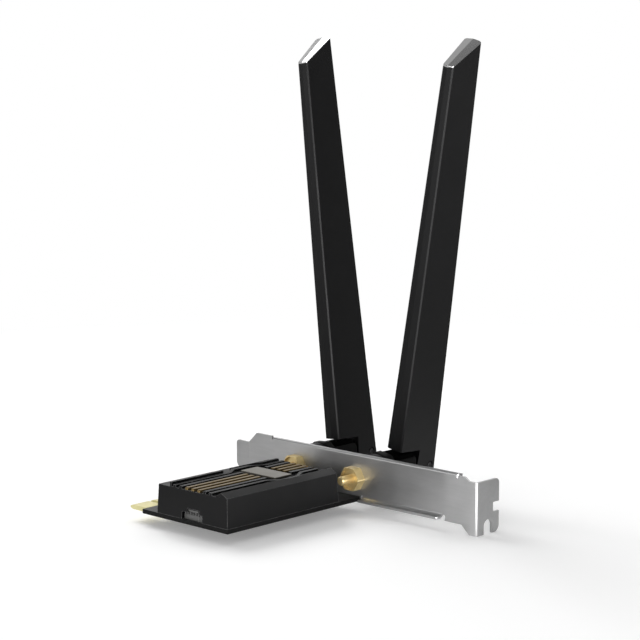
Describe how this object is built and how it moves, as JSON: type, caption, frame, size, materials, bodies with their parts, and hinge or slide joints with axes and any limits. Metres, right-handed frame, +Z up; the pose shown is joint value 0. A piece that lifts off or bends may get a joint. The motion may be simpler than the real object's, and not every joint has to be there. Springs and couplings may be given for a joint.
{
  "type": "wireless network expansion card",
  "caption": "Expansion card with a ribbed heatsink on a slotted steel bracket and flat folding antennas on swivel joints.",
  "frame": {"origin": "centre of the bounding box's base, on the level of the bracket tab's lowest edge", "axes": "+X along the bracket towards its screw tab, +Y out of the back of the computer towards the antennas, +Z up from the board's underside towards the heatsink's fins and the antenna tips"},
  "size_m": [0.12, 0.1092, 0.1722],
  "materials": {
    "steel_bracket": "plain zinc-like sheet, fine even grain",
    "board_black": "black lacquered circuit board",
    "gold_contact": "gold plate",
    "sink_black": "black anodised, satin",
    "sink_gold": "pale gold anodised, satin",
    "plate_silver": "fine satin, bare",
    "pad_grey": "soft, matt",
    "module_board": "dark green lacquered circuit board",
    "shield_tin": "tinned sheet",
    "socket_black": "moulded, matt",
    "screw_steel": "zinc plated",
    "header_grey": "moulded, matt",
    "ceramic_tan": "fired ceramic",
    "chip_black": "moulded, matt",
    "jack_gold": "gold plate, lightly satin",
    "insulator_white": "waxy white",
    "sleeve_black": "smooth moulded, satin",
    "knuckle_black": "moulded, fine matt",
    "pin_steel": "dark steel",
    "blade_black": "moulded, satin",
    "cap_silver": "silver painted",
    "aerial_board": "green laminate with copper track"
  },
  "bodies": {
    "card": {"bracket": "steel_bracket", "board": "board_black", "edge_contacts": "gold_contact", "heatsink": "sink_black", "gold_fins": "sink_gold", "name_plate": "plate_silver", "thermal_pad": "pad_grey", "radio_card": "module_board", "radio_card_contacts": "gold_contact", "shield_can": "shield_tin", "card_socket": "socket_black", "card_standoff": "jack_gold", "card_screw": "screw_steel", "card_coax_sockets": "gold_contact", "wire_header": "header_grey", "wire_header_pins": "gold_contact", "chip_capacitors": "ceramic_tan", "chip_packages": "chip_black", "ear_screws": "screw_steel", "heatsink_screws": "screw_steel", "jack_left": "jack_gold", "jack_core_left": "insulator_white", "jack_pin_left": "gold_contact", "lock_washer_left": "jack_gold", "jack_nut_left": "jack_gold", "coupling_insert_left": "jack_gold", "coupling_sleeve_left": "sleeve_black", "jack_right": "jack_gold", "jack_core_right": "insulator_white", "jack_pin_right": "gold_contact", "lock_washer_right": "jack_gold", "jack_nut_right": "jack_gold", "coupling_insert_right": "jack_gold", "coupling_sleeve_right": "sleeve_black"},
    "knuckle_left": {"knuckle_left": "knuckle_black", "plug_left": "jack_gold"},
    "blade_left": {"hinge_pin_left": "pin_steel", "blade_inner_left": "blade_black", "blade_outer_left": "blade_black", "blade_cap_left": "cap_silver", "radiator_left": "aerial_board"},
    "knuckle_right": {"knuckle_right": "knuckle_black", "plug_right": "jack_gold"},
    "blade_right": {"hinge_pin_right": "pin_steel", "blade_inner_right": "blade_black", "blade_outer_right": "blade_black", "blade_cap_right": "cap_silver", "radiator_right": "aerial_board"}
  },
  "joints": [
    {"name": "swivel_left", "type": "hinge", "parent": "card", "child": "knuckle_left", "pos_m": [-0.0264, 0.05038, 0.0121], "axis": [0, 1, 0], "range_deg": [-84.81, 8.19]},
    {"name": "fold_left", "type": "hinge", "parent": "knuckle_left", "child": "blade_left", "pos_m": [-0.0264, 0.05038, 0.0121], "axis": [-0.9959, 0, -0.0905], "range_deg": [-2.41, 87.59]},
    {"name": "swivel_right", "type": "hinge", "parent": "card", "child": "knuckle_right", "pos_m": [0.0032, 0.05038, 0.0121], "axis": [0, 1, 0], "range_deg": [-12.88, 80.12]},
    {"name": "fold_right", "type": "hinge", "parent": "knuckle_right", "child": "blade_right", "pos_m": [0.0032, 0.05038, 0.0121], "axis": [-0.9852, 0, 0.1716], "range_deg": [-3.31, 86.69]}
  ]
}
